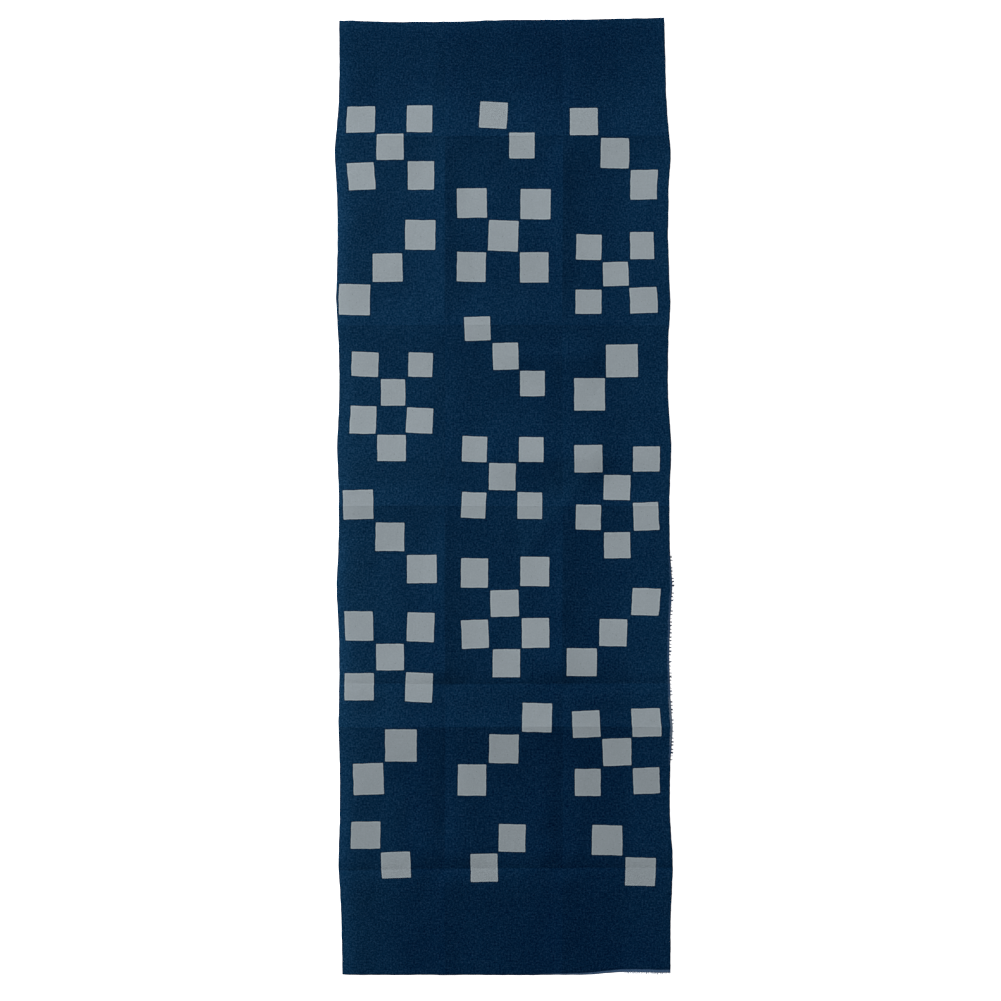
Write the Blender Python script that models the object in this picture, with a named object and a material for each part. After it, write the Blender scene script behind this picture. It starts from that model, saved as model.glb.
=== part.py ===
"""A tenugui hand towel: one length of thin plain-weave cotton with cut, unhemmed ends and woven edges.

It lies face up on a flat surface, unfolded, with the pressed lines of its old folds standing as soft
ridges and troughs. Metres, +Z up, +Y towards the head end, and the origin at the middle of the
footprint, on the surface. Run it with: blender --background --python part.py
"""

import math
from typing import NamedTuple

import bmesh
import bpy

# Driving sizes of the cloth.
CLOTH_LENGTH = 1.000
CLOTH_THICKNESS = 0.001

# The stations of the surface grid: their usual spacing, and the extra ones beside a pressed line.
STATION_STEP = 0.0175
FLANK_OFFSET = 0.006

# How soft a pressed line is at its very top, the stretch over which a long crease changes its rise
# where a cross crease meets it, and the power that joins crossing heights without adding them up.
CREASE_RADIUS = 0.0012
PANEL_BLEND = 0.018
JOINING_POWER = 3.0

# A trough's arch is this many times its rise times s (1 - s)^2, which peaks at one rise.
ARCH_FACTOR = 27.0 / 4.0

# The hand-drawn outline: the stretch beside a stretcher pin that the pull reaches.
PIN_REACH = 0.024

# Relief under this height lies pressed flat on the surface, and settles towards it just above.
REST_DEPTH = 0.0015
SETTLE_DEPTH = 0.0004

# Indigo-dyed cotton.
CLOTH_COLOUR = (0.0035, 0.0195, 0.0520, 1.0)
CLOTH_ROUGHNESS = 0.92


class CrossCrease(NamedTuple):
    """A pressed line across the cloth. A ridge has a positive rise, a trough a negative one."""

    along: float
    slant: float
    rise: float
    head_reach: float
    foot_reach: float
    fade_phase: float


class LongCrease(NamedTuple):
    """A pressed line along the cloth, with one rise for each panel between the cross creases."""

    across: float
    reach: float
    panel_rises: tuple


class SoftRidge(NamedTuple):
    """A low ridge across the cloth's middle that was never pressed. A share of its rise is left
    beside the middle.
    """

    along: float
    rise: float
    head_reach: float
    foot_reach: float
    side_share: float


class StretcherPin(NamedTuple):
    """Where a bamboo stretcher's pins drew both woven edges outwards while the cloth was dyed."""

    along: float
    left_pull: float
    right_pull: float


class OutlineStation(NamedTuple):
    """The woven edges between the pins: their places across the cloth at one place along it."""

    along: float
    left: float
    right: float


class EndStation(NamedTuple):
    """The cut ends: how far each stands in from the nominal length at one place across the cloth."""

    across: float
    head_short: float
    foot_short: float


class Swell(NamedTuple):
    """One long, low wave of the resting cloth."""

    height: float
    across_length: float
    along_length: float
    phase: float


CROSS_CREASES = (
    CrossCrease(0.3780, slant=0.0, rise=0.0048, head_reach=0.072, foot_reach=0.085, fade_phase=3.1),
    CrossCrease(0.1800, slant=0.0, rise=0.0056, head_reach=0.062, foot_reach=0.115, fade_phase=2.1),
    CrossCrease(-0.0090, slant=0.0, rise=0.0046, head_reach=0.045, foot_reach=0.085, fade_phase=4.2),
    CrossCrease(-0.1950, slant=0.0, rise=-0.0013, head_reach=0.060, foot_reach=0.060, fade_phase=0.0),
    CrossCrease(-0.2400, slant=0.0, rise=0.0048, head_reach=0.056, foot_reach=0.110, fade_phase=2.1),
    CrossCrease(-0.3885, slant=0.009, rise=-0.0013, head_reach=0.070, foot_reach=0.070, fade_phase=4.2),
)

SOFT_RIDGES = (
    SoftRidge(along=0.148, rise=0.0046, head_reach=0.040, foot_reach=0.042, side_share=0.0),
    SoftRidge(along=0.041, rise=0.0062, head_reach=0.052, foot_reach=0.062, side_share=0.5),
)
SOFT_RIDGE_ROUNDNESS = 0.004

LONG_CREASES = (
    LongCrease(
        across=-0.062,
        reach=0.056,
        panel_rises=(-0.0010, 0.0048, -0.0016, 0.0044, -0.0014, -0.0020, 0.0023),
    ),
    LongCrease(
        across=0.061,
        reach=0.051,
        panel_rises=(-0.0010, 0.0045, -0.0014, 0.0037, -0.0014, -0.0018, 0.0027),
    ),
)

STRETCHER_PINS = (
    StretcherPin(along=0.362, left_pull=0.0042, right_pull=0.0042),
    StretcherPin(along=0.206, left_pull=0.0026, right_pull=0.0028),
    StretcherPin(along=0.053, left_pull=0.0024, right_pull=0.0034),
    StretcherPin(along=-0.094, left_pull=0.0031, right_pull=0.0034),
    StretcherPin(along=-0.241, left_pull=0.0013, right_pull=0.0030),
    StretcherPin(along=-0.383, left_pull=0.0022, right_pull=0.0034),
)

OUTLINE = (
    OutlineStation(along=0.500, left=-0.1722, right=0.1672),
    OutlineStation(along=0.430, left=-0.1722, right=0.1680),
    OutlineStation(along=0.280, left=-0.1738, right=0.1706),
    OutlineStation(along=0.120, left=-0.1724, right=0.1708),
    OutlineStation(along=-0.020, left=-0.1727, right=0.1722),
    OutlineStation(along=-0.165, left=-0.1724, right=0.1722),
    OutlineStation(along=-0.310, left=-0.1717, right=0.1720),
    OutlineStation(along=-0.440, left=-0.1700, right=0.1728),
    OutlineStation(along=-0.500, left=-0.1693, right=0.1732),
)

CUT_ENDS = (
    EndStation(across=-0.172, head_short=0.0012, foot_short=0.0004),
    EndStation(across=-0.110, head_short=0.0028, foot_short=0.0000),
    EndStation(across=-0.060, head_short=0.0026, foot_short=0.0000),
    EndStation(across=0.010, head_short=0.0006, foot_short=0.0000),
    EndStation(across=0.085, head_short=0.0002, foot_short=0.0003),
    EndStation(across=0.130, head_short=-0.0008, foot_short=0.0028),
    EndStation(across=0.172, head_short=-0.0016, foot_short=0.0022),
)

SWELLS = (
    Swell(height=0.00036, across_length=0.29, along_length=0.43, phase=0.9),
    Swell(height=0.00028, across_length=-0.17, along_length=0.31, phase=2.3),
    Swell(height=0.00020, across_length=0.11, along_length=0.19, phase=4.1),
)

# How far a crease strays from its straight line, and how much a cross crease rises and fades. A
# crease's slant is how far it climbs along the cloth for each metre across it.
WANDER = 0.0004
WANDER_LENGTH = 0.34
FADE = 0.20
FADE_LENGTH = 0.29

# The curls of the edges: how high each edge stands, and how far in the curl reaches.
HEAD_CURL_RISE = 0.0044
HEAD_CURL_REACH = 0.050
RIGHT_CURL_RISE = 0.0042
RIGHT_CURL_REACH = 0.040
FOOT_CORNER_RISE = 0.0044
FOOT_CORNER_REACH = 0.040

# The left woven edge lies down, and the cloth stands a little higher just inside it.
LEFT_ROLL_RISE = 0.0030
LEFT_ROLL_REACH = 0.014


def smooth_step(share):
    """0 below 0, 1 above 1, and an even S between them."""
    share = min(1.0, max(0.0, share))
    return share * share * (3.0 - 2.0 * share)


def along_table(table, key, value, place):
    """The smooth reading of one column of a table at a place between its rows."""
    rows = sorted(table, key=lambda row: getattr(row, key))
    if place <= getattr(rows[0], key):
        return getattr(rows[0], value)
    for before, after in zip(rows, rows[1:]):
        low, high = getattr(before, key), getattr(after, key)
        if place <= high:
            share = smooth_step((place - low) / (high - low))
            return getattr(before, value) * (1.0 - share) + getattr(after, value) * share
    return getattr(rows[-1], value)


def pin_draw(along, pull):
    """How far the stretcher pins draw a woven edge outwards at one place along the cloth."""
    drawn = 0.0
    for pin in STRETCHER_PINS:
        distance = abs(along - pin.along) / PIN_REACH
        drawn += getattr(pin, pull) / math.cosh(distance)
    return drawn


def woven_edges(along):
    """The places across the cloth of its left and right woven edges."""
    left = along_table(OUTLINE, "along", "left", along) - pin_draw(along, "left_pull")
    right = along_table(OUTLINE, "along", "right", along) + pin_draw(along, "right_pull")
    return left, right


def cut_ends(across):
    """The places along the cloth of its foot and head ends."""
    foot = -CLOTH_LENGTH / 2 + along_table(CUT_ENDS, "across", "foot_short", across)
    head = CLOTH_LENGTH / 2 - along_table(CUT_ENDS, "across", "head_short", across)
    return foot, head


def pressed_line(distance, rise, reach):
    """The height of a ridge, or of the arch beside a trough, at a distance from the pressed line."""
    away = (math.hypot(distance, CREASE_RADIUS) - CREASE_RADIUS) / reach
    if away >= 1.0:
        return 0.0
    flank = (1.0 - away) ** 2
    return rise * flank if rise >= 0.0 else -rise * ARCH_FACTOR * away * flank


def panel_rise(crease, along):
    """The rise of a long crease at one place, blended from panel to panel at the cross creases."""
    rise = crease.panel_rises[0]
    for number, cross in enumerate(CROSS_CREASES):
        share = smooth_step((cross.along - along) / (2 * PANEL_BLEND) + 0.5)
        rise += (crease.panel_rises[number + 1] - crease.panel_rises[number]) * share
    return rise


def wave(place, length, shift):
    """A plain sine along the cloth, from -1 to 1, with its full length given."""
    return math.sin(2.0 * math.pi * place / length + shift)


def crease_heights(across, along):
    """The ridges and troughs of the old folds. They wander, and a cross crease fades as it runs."""
    heights = []
    for number, cross in enumerate(CROSS_CREASES):
        line = cross.along + cross.slant * across
        distance = along - line - WANDER * wave(across, WANDER_LENGTH, 1.7 * number)
        reach = cross.head_reach if distance > 0.0 else cross.foot_reach
        strength = 1.0 + FADE * wave(across, FADE_LENGTH, cross.fade_phase)
        heights.append(strength * pressed_line(distance, cross.rise, reach))
    for number, crease in enumerate(LONG_CREASES):
        distance = across - crease.across - WANDER * wave(along, WANDER_LENGTH, 1.3 * number)
        heights.append(pressed_line(distance, panel_rise(crease, along), crease.reach))
    return heights


def soft_ridge_heights(across, along):
    """The ridges that were never pressed: full in the cloth's middle, and lower or gone beside it."""
    middle = smooth_step((across + 0.036) / 0.030) * (1.0 - smooth_step((across - 0.088) / 0.030))
    heights = []
    for ridge in SOFT_RIDGES:
        distance = along - ridge.along
        reach = ridge.head_reach if distance > 0.0 else ridge.foot_reach
        away = (math.hypot(distance, SOFT_RIDGE_ROUNDNESS) - SOFT_RIDGE_ROUNDNESS) / reach
        strength = ridge.side_share + (1.0 - ridge.side_share) * middle
        heights.append(strength * ridge.rise * max(0.0, 1.0 - away) ** 1.4)
    return heights


def edge_heights(across, along):
    """The curls of the head end, the right woven edge and the foot's right corner, and the left roll."""
    left, right = woven_edges(along)
    foot, head = cut_ends(across)
    corner = math.hypot(right - across, along - foot)
    curls = (
        (head - along, HEAD_CURL_RISE, HEAD_CURL_REACH),
        (right - across, RIGHT_CURL_RISE, RIGHT_CURL_REACH),
        (corner, FOOT_CORNER_RISE, FOOT_CORNER_REACH),
    )
    heights = [rise * math.exp(-((distance / reach) ** 2)) for distance, rise, reach in curls]
    rolled = max(0.0, across - left) / LEFT_ROLL_REACH
    heights.append(LEFT_ROLL_RISE * rolled * math.exp(1.0 - rolled))
    return heights


def swell_relief(across, along):
    """The long, low waves of a cloth that has only just been smoothed out by hand."""
    relief = 0.0
    for swell in SWELLS:
        turn = across / swell.across_length + along / swell.along_length
        relief += swell.height * math.sin(2.0 * math.pi * turn + swell.phase)
    return relief


def underside_height(across, along):
    """How high the cloth's underside stands above the surface. Low relief lies flat on it."""
    heights = crease_heights(across, along) + soft_ridge_heights(across, along)
    heights += edge_heights(across, along)
    relief = sum(height**JOINING_POWER for height in heights) ** (1.0 / JOINING_POWER)
    above = relief + swell_relief(across, along) - REST_DEPTH
    if above <= 0.0:
        return 0.0
    return above * above / (above + SETTLE_DEPTH)


def stations(low, high, lines):
    """Places from low to high: on every pressed line, beside it, and evenly spaced between."""
    places = []
    stops = [low, *sorted(lines), high]
    for start, stop in zip(stops, stops[1:]):
        inner_start = start + (FLANK_OFFSET if start in lines else 0.0)
        inner_stop = stop - (FLANK_OFFSET if stop in lines else 0.0)
        count = max(1, round((inner_stop - inner_start) / STATION_STEP))
        places.append(start)
        if inner_start > start:
            places.append(inner_start)
        step = (inner_stop - inner_start) / count
        places.extend(inner_start + step * number for number in range(1, count))
        if inner_stop < stop:
            places.append(inner_stop)
    places.append(high)
    return places


def surface_points():
    """Rows of (x, y, z) on the underside, from the foot end up and from left to right."""
    row_places = stations(
        -CLOTH_LENGTH / 2, CLOTH_LENGTH / 2, [crease.along for crease in CROSS_CREASES]
    )
    nominal_left, nominal_right = OUTLINE[4].left, OUTLINE[4].right
    column_places = stations(
        nominal_left, nominal_right, [crease.across for crease in LONG_CREASES]
    )
    rows = []
    for row_place in row_places:
        left, right = woven_edges(row_place)
        share_along = row_place / CLOTH_LENGTH + 0.5
        row = []
        for column_place in column_places:
            share = (column_place - nominal_left) / (nominal_right - nominal_left)
            across = left + (right - left) * share
            foot, head = cut_ends(across)
            along = foot + (head - foot) * share_along
            row.append((across, along, underside_height(across, along)))
        rows.append(row)
    return rows


def centred(rows):
    """The same points, moved so that the footprint's middle is at the origin."""
    across_places = [point[0] for row in rows for point in row]
    along_places = [point[1] for row in rows for point in row]
    middle_across = (min(across_places) + max(across_places)) / 2
    middle_along = (min(along_places) + max(along_places)) / 2
    return [
        [(across - middle_across, along - middle_along, height) for across, along, height in row]
        for row in rows
    ]


def sheet_mesh(name, rows):
    """A closed sheet: the underside, the same surface one thickness higher, and the rim between."""
    mesh = bpy.data.meshes.new(name)
    sheet = bmesh.new()
    under = [[sheet.verts.new(point) for point in row] for row in rows]
    over = [
        [sheet.verts.new((x, y, z + CLOTH_THICKNESS)) for x, y, z in row] for row in rows
    ]
    for row in range(len(rows) - 1):
        for column in range(len(rows[0]) - 1):
            corners = ((row, column), (row, column + 1), (row + 1, column + 1), (row + 1, column))
            sheet.faces.new([over[r][c] for r, c in corners])
            sheet.faces.new([under[r][c] for r, c in reversed(corners)])
    last_row, last_column = len(rows) - 1, len(rows[0]) - 1
    rim = [(0, column) for column in range(last_column)]
    rim += [(row, last_column) for row in range(last_row)]
    rim += [(last_row, column) for column in range(last_column, 0, -1)]
    rim += [(row, 0) for row in range(last_row, 0, -1)]
    for (row, column), (next_row, next_column) in zip(rim, rim[1:] + rim[:1]):
        sheet.faces.new(
            (
                under[row][column],
                under[next_row][next_column],
                over[next_row][next_column],
                over[row][column],
            )
        )
    bmesh.ops.triangulate(sheet, faces=sheet.faces, quad_method="FIXED")
    sheet.to_mesh(mesh)
    sheet.free()
    return mesh


def indigo_cotton():
    """The dyed cloth's material."""
    material = bpy.data.materials.new("indigo_cotton")
    material.use_nodes = True
    shader = material.node_tree.nodes["Principled BSDF"]
    shader.inputs["Base Color"].default_value = CLOTH_COLOUR
    shader.inputs["Roughness"].default_value = CLOTH_ROUGHNESS
    shader.inputs["Metallic"].default_value = 0.0
    return material


def build_towel():
    """The one-piece towel, woven edges, cut ends and all."""
    mesh = sheet_mesh("towel", centred(surface_points()))
    mesh.materials.append(indigo_cotton())
    mesh.shade_smooth()
    mesh.set_sharp_from_angle(angle=math.radians(40.0))
    towel = bpy.data.objects.new("towel", mesh)
    bpy.context.scene.collection.objects.link(towel)
    return towel


def main():
    """Clears the scene and builds the towel in it."""
    for existing in list(bpy.data.objects):
        bpy.data.objects.remove(existing, do_unlink=True)
    build_towel()


main()
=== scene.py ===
"""A tenugui hand towel lying face up, unfolded: thin indigo cotton with pale grey squares.

The cloth is one length of plain weave with woven edges and cut, fraying ends. The pressed lines of
its old folds stand as soft ridges and troughs. The file is laid out as an add-on with one operator
for the cloth, one for its loose yarns and one for the stage. Metres, +Z up, +Y towards the head end.
"""

import math
import random

import bpy
import numpy as np
from bpy.props import FloatProperty, FloatVectorProperty, IntProperty, PointerProperty
from bpy.types import Operator, Panel, PropertyGroup
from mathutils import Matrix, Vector


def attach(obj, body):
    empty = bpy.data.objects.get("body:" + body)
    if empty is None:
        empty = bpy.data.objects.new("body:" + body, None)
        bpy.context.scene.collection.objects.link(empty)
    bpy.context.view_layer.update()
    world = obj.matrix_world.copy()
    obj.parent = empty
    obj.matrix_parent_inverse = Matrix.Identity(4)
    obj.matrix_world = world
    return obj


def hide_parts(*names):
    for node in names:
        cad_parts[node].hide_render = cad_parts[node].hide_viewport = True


bl_info = {
    "name": "Tenugui Towel",
    "version": (1, 0, 0),
    "blender": (4, 5, 0),
    "location": "3D View > Sidebar > Tenugui",
    "description": "Builds an indigo cotton hand towel and a plain studio around it",
    "category": "Add Mesh",
}

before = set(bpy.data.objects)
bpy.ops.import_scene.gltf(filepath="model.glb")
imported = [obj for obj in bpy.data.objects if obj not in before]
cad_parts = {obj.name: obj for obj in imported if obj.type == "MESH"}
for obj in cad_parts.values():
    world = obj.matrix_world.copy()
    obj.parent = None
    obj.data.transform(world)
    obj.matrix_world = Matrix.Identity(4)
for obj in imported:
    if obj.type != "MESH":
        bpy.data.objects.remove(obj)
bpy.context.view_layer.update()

BODY = "root"
CAD_NODE = "towel"
CLOTH_NAME = "towel_cloth"
FLOOR_NAME = "studio_floor"

# The cloth's cut size. Across runs from left to right, and along from the foot end to the head end.
CLOTH_LENGTH = 1.000
CLOTH_WIDTH = 0.346
HALF_LENGTH = CLOTH_LENGTH / 2
HALF_WIDTH = CLOTH_WIDTH / 2

# The stretcher pins drew both woven edges outwards: (along, left pull, right pull).
PINS = (
    (0.362, 0.0042, 0.0042),
    (0.206, 0.0026, 0.0028),
    (0.053, 0.0024, 0.0034),
    (-0.094, 0.0031, 0.0034),
    (-0.241, 0.0013, 0.0034),
    (-0.383, 0.0028, 0.0031),
)
PIN_REACH = 0.024

# The woven edges between the pins: (along, left, right).
OUTLINE = (
    (-0.500, -0.1695, 0.1739),
    (-0.440, -0.1702, 0.1738),
    (-0.310, -0.1717, 0.1726),
    (-0.165, -0.1724, 0.1722),
    (-0.020, -0.1727, 0.1722),
    (0.120, -0.1724, 0.1708),
    (0.280, -0.1743, 0.1710),
    (0.430, -0.1724, 0.1688),
    (0.500, -0.1728, 0.1676),
)

# The cut ends: (across, how far the head end stands in, how far the foot end stands in).
CUT_ENDS = (
    (-0.172, 0.0012, 0.0004),
    (-0.110, 0.0028, 0.0000),
    (-0.060, 0.0026, 0.0000),
    (0.010, 0.0006, 0.0000),
    (0.085, 0.0002, 0.0006),
    (0.130, -0.0008, 0.0034),
    (0.172, -0.0016, 0.0030),
)

# The pressed lines across the cloth: (along, slant, rise, head reach, foot reach, fade's phase). A
# trough has a negative rise.
CROSS_CREASES = (
    (0.3780, 0.000, 0.0048, 0.072, 0.085, 3.1),
    (0.1800, 0.000, 0.0056, 0.062, 0.115, 2.1),
    (-0.0090, 0.000, 0.0046, 0.045, 0.085, 4.2),
    (-0.1950, 0.000, -0.0013, 0.060, 0.060, 0.0),
    (-0.2400, 0.000, 0.0048, 0.056, 0.110, 2.1),
    (-0.3885, 0.009, -0.0013, 0.070, 0.070, 4.2),
)

# Softer ridges across the cloth's middle, never pressed: (along, rise, head reach, foot reach, share
# of the rise that is left beside the middle).
SOFT_RIDGES = (
    (0.148, 0.0046, 0.040, 0.042, 0.0),
    (0.041, 0.0062, 0.052, 0.062, 0.5),
)
SOFT_RIDGE_ROUNDNESS = 0.004
SOFT_RIDGE_POWER = 1.4
SOFT_RIDGE_LEFT = -0.036
SOFT_RIDGE_RIGHT = 0.118
SOFT_RIDGE_FADE = 0.030

# The pressed lines along the cloth: (across, reach, one rise for each panel from the head down).
LONG_CREASES = (
    (-0.062, 0.056, (-0.0010, 0.0048, -0.0016, 0.0044, -0.0014, -0.0020, 0.0023)),
    (0.061, 0.051, (-0.0010, 0.0045, -0.0014, 0.0037, -0.0014, -0.0018, 0.0027)),
)
CREASE_RADIUS = 0.0012
PANEL_BLEND = 0.018
JOINING_POWER = 3.0
ARCH_FACTOR = 27.0 / 4.0
WANDER = 0.0004
WANDER_LENGTH = 0.34
CROSS_WANDER_SHIFT = 1.7
LONG_WANDER_SHIFT = 1.3
FADE = 0.20
FADE_LENGTH = 0.29

# The fine unevenness of each edge, of this many waves: (height, shortest wave, longest wave, seed).
EDGE_WAVES = 7
LEFT_RIPPLE = (0.00022, 0.009, 0.030, 31)
RIGHT_RIPPLE = (0.00028, 0.008, 0.026, 32)
FOOT_RIPPLE = (0.00030, 0.010, 0.040, 33)
HEAD_RIPPLE = (0.00022, 0.009, 0.034, 34)

# The small puckers of often washed cotton: (height, shortest wave, longest wave, waves, seed).
PUCKERS = (
    (0.00018, 0.030, 0.085, 14, 41),
    (0.00006, 0.011, 0.026, 18, 42),
)

# The long, low waves of the resting cloth: (height, across length, along length, phase).
SWELLS = (
    (0.00036, 0.29, 0.43, 0.9),
    (0.00028, -0.17, 0.31, 2.3),
    (0.00020, 0.11, 0.19, 4.1),
)

# The curls of the edges, (rise, reach), and the roll beside the left woven edge.
HEAD_CURL = (0.0044, 0.050)
RIGHT_CURL = (0.0042, 0.040)
FOOT_CORNER_CURL = (0.0044, 0.040)
LEFT_ROLL = (0.0030, 0.014)

# Relief under this height lies pressed flat on the surface, and settles towards it just above. The
# cloth's underside keeps this clear of the surface.
REST_DEPTH = 0.0008
SETTLE_DEPTH = 0.0004
CLEARANCE = 0.0001

# Beside a furrow the cloth stands this high, from this close to it, and fades over this reach. A long
# furrow has its own height, which is full at this depth.
PINCH_HEIGHT = 0.0012
PINCH_WIDTH = 0.006
PINCH_REACH = 0.030
LONG_PINCH_HEIGHT = 0.00096
LONG_PINCH_DEPTH = 0.0026

# The pins' pull and the scissors' unevenness are taken up this far in from each edge.
EDGE_STRETCH = 0.085

# The mesh's rows and columns: the first ones' places in from an edge, those beside a pressed line,
# and the share of a step that is kept clear around it.
HEM_COLUMNS = (0.0, 0.0006, 0.0018)
HEM_ROWS = (0.0, 0.0005, 0.0018)
LINE_GRID = (-0.0015, -0.0005, 0.0005, 0.0015)
SLANTED_LINE_OFFSET = 0.0010
LINE_GAP_SHARE = 0.7

# The outline's box is found from this many points along each woven edge and each cut end.
WOVEN_EDGE_POINTS = 400
CUT_END_POINTS = 140

# A pressed line of this rise shows fully in the yarns, over this width.
FULL_LINE_RISE = 0.004
YARN_LINE_WIDTH = 0.0009

# Steeper leans of the cloth than this one count as this one.
STEEPEST_LEAN = 0.3

# The resist print: the check's module, the squares' usual size, and how unevenly they are cut.
CHECK_MODULE = 0.0318
SQUARE_SIZE = 0.0292
SQUARE_SIZE_SPREAD = 0.0019
SQUARE_SHIFT = 0.0006
SQUARE_TURN = math.radians(1.9)
GROUP_TURN = math.radians(1.4)
PRINT_SEED = 20
CORNER_ROUNDING = 0.0012
OUTLINE_BLUR = 0.00035
HAND_WAVER_WIDTH = 0.0007
YARN_WAVER_WIDTH = 0.0004

# Small patches of check, as (column, row) places of their squares.
PATCHES = {
    "five": ((0, 0), (2, 0), (1, 1), (0, 2), (2, 2)),
    "six": ((1, 0), (0, 1), (2, 1), (1, 2), (0, 3), (2, 3)),
    "stair_up": ((0, 0), (1, 1), (2, 2)),
    "stair_down": ((2, 0), (1, 1), (0, 2)),
    "pair_up": ((0, 0), (1, 1)),
    "pair_down": ((1, 0), (0, 1)),
}

# Where each patch of check lies: (patch, across, along, scale) of its middle.
PRINT = (
    ("five", -0.118, 0.366, 0.94),
    ("stair_up", -0.121, 0.241, 1.05),
    ("six", -0.117, 0.100, 0.92),
    ("stair_down", -0.119, -0.041, 1.05),
    ("five", -0.120, -0.167, 0.99),
    ("pair_up", -0.125, -0.277, 1.10),
    ("pair_down", -0.129, -0.369, 0.98),
    ("pair_down", 0.004, 0.384, 0.96),
    ("five", -0.001, 0.274, 1.04),
    ("stair_down", 0.001, 0.148, 0.90),
    ("five", -0.002, 0.021, 0.92),
    ("six", 0.001, -0.121, 1.00),
    ("stair_up", 0.000, -0.263, 1.05),
    ("pair_up", -0.006, -0.372, 0.94),
    ("stair_down", 0.115, 0.360, 1.02),
    ("five", 0.117, 0.234, 0.90),
    ("pair_up", 0.107, 0.125, 1.10),
    ("six", 0.118, 0.000, 0.95),
    ("stair_up", 0.114, -0.141, 1.02),
    ("five", 0.117, -0.267, 0.96),
    ("pair_down", 0.124, -0.375, 1.06),
)

# Noise over the flat cloth: (grain's size across, its size along, seed, detail). The slubs' first
# size is in yarns.
HAND_WAVER = (0.009, 0.009, 3.0, 0.0)
YARN_WAVER = (0.0009, 0.0009, 5.0, 0.0)
WARP_SLUBS = (1.0 / 3.7, 0.0068, 11.0, 0.0)
WEFT_SLUBS = (1.0 / 3.7, 0.0068, 17.0, 0.0)
MOTTLE = (0.0018, 0.0018, 23.0, 1.0)
CLOUDS = (0.045, 0.045, 29.0, 2.0)
SMALL_CLOUDS = (0.013, 0.013, 37.0, 1.0)

# The red that the flecks have besides their blue.
FLECK_RED = 0.0030

# Slow changes of the cloth's paleness, partly of the dye and partly painted light and shade. Each
# adds a share, the product of its smooth ramps: (place, the ramp's low and high ends, its values
# there). The last place is how far a lit, slanted streak lies.
ACROSS, ALONG, FROM_LIT_STREAK = range(3)
LIT_STREAK_MIDDLE = 0.052
LIT_STREAK_SLOPE = 1.16
DYE_AND_PAINTED_LIGHT_CHANGES = (
    # Darker below the foot's pressed lines, and again near the foot.
    ((ALONG, -0.2440, -0.2370, -0.14, 0.0),),
    ((ALONG, -0.46, -0.39, -0.08, 0.0),),
    # Painted shade towards the head, whose curl faces away from the light, a painted highlight
    # at its rim, and darker again at its left.
    ((ALONG, 0.370, 0.480, 0.0, -0.20),),
    ((ALONG, 0.490, 0.496, 0.0, 0.12),),
    ((ALONG, 0.41, 0.46, -0.12, 0.0), (ALONG, 0.376, 0.384, 0.0, 1.0),
     (ACROSS, -0.115, -0.075, 1.0, 0.0)),
    # Painted light at the left, towards the lamp, and painted shade beside the left long crease,
    # low down.
    ((ACROSS, -HALF_WIDTH, 0.045 - HALF_WIDTH, 0.12, 0.0),),
    ((ACROSS, -HALF_WIDTH, 0.014 - HALF_WIDTH, 0.07, 0.0),),
    ((ACROSS, -0.165, -0.075, 0.15, 0.0), (ALONG, 0.02, 0.17, 1.0, 0.0)),
    ((ALONG, -0.16, -0.06, -0.14, 0.0), (ACROSS, -0.122, -0.098, 0.0, 1.0),
     (ACROSS, -0.065, -0.058, 1.0, 0.0)),
    # Painted shade in the inner panels, which are turned from the light, most of all at the right
    # of the middle one.
    ((ACROSS, -0.066, -0.058, 0.0, -0.09),),
    ((ALONG, -0.20, -0.05, -0.12, -0.08), (ACROSS, 0.012, 0.045, 0.0, 1.0),
     (ACROSS, 0.058, 0.064, 1.0, 0.0)),
    ((ALONG, -0.04, 0.02, -0.09, -0.045), (ACROSS, 0.056, 0.068, 0.0, 1.0),
     (ACROSS, 0.095, 0.145, 1.0, 0.0)),
    # Painted light towards the right woven edge, whose curl faces the light.
    ((ACROSS, 0.100, 0.150, 0.0, 0.09),),
    ((ACROSS, 0.156, 0.172, 0.0, 0.12),),
    # A painted highlight in a slanted streak, where the cloth faces the light.
    ((FROM_LIT_STREAK, 0.012, 0.034, 0.30, 0.0), (ACROSS, 0.006, 0.022, 0.0, 1.0),
     (ACROSS, 0.080, 0.096, 1.0, 0.0)),
)

# Loose yarns along stretches of the edges: (name, the stretch's ends across, its ends along, points,
# outward side, material, tufts, strand's length, its thickness in usual yarns, spread).
LOOSE_YARNS = (
    ("foot_yarn_ends", (0.125, HALF_WIDTH), (-HALF_LENGTH, -HALF_LENGTH), 60,
     1.0, "worn_yarn", 40, 0.0012, 1.6, 0.30),
    ("head_yarn_ends", (-HALF_WIDTH, HALF_WIDTH), (HALF_LENGTH, HALF_LENGTH), 120,
     -1.0, "dyed_yarn", 60, 0.0012, 1.0, 0.65),
    ("side_fibres", (HALF_WIDTH, HALF_WIDTH), (-0.275, -0.055), 130,
     1.0, "rubbed_yarn", 58, 0.0016, 2.6, 0.45),
)
# The share of each yarn material that is worn pale.
PALE_SHARES = {"worn_yarn": 0.60, "rubbed_yarn": 0.32, "dyed_yarn": 0.18}


def smooth_step(share):
    """0 below 0, 1 above 1, and an even S between them."""
    share = np.clip(share, 0.0, 1.0)
    return share * share * (3.0 - 2.0 * share)


def along_table(table, column, place):
    """The smooth reading of one column of a sorted table at places between its rows."""
    keys = np.array([row[0] for row in table])
    values = np.array([row[column] for row in table])
    index = np.clip(np.searchsorted(keys, place) - 1, 0, len(keys) - 2)
    share = smooth_step((place - keys[index]) / (keys[index + 1] - keys[index]))
    return values[index] * (1.0 - share) + values[index + 1] * share


def wave(place, length, shift):
    """A plain sine along the cloth, from -1 to 1, with its full length given."""
    return np.sin(2.0 * np.pi * place / length + shift)


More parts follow.
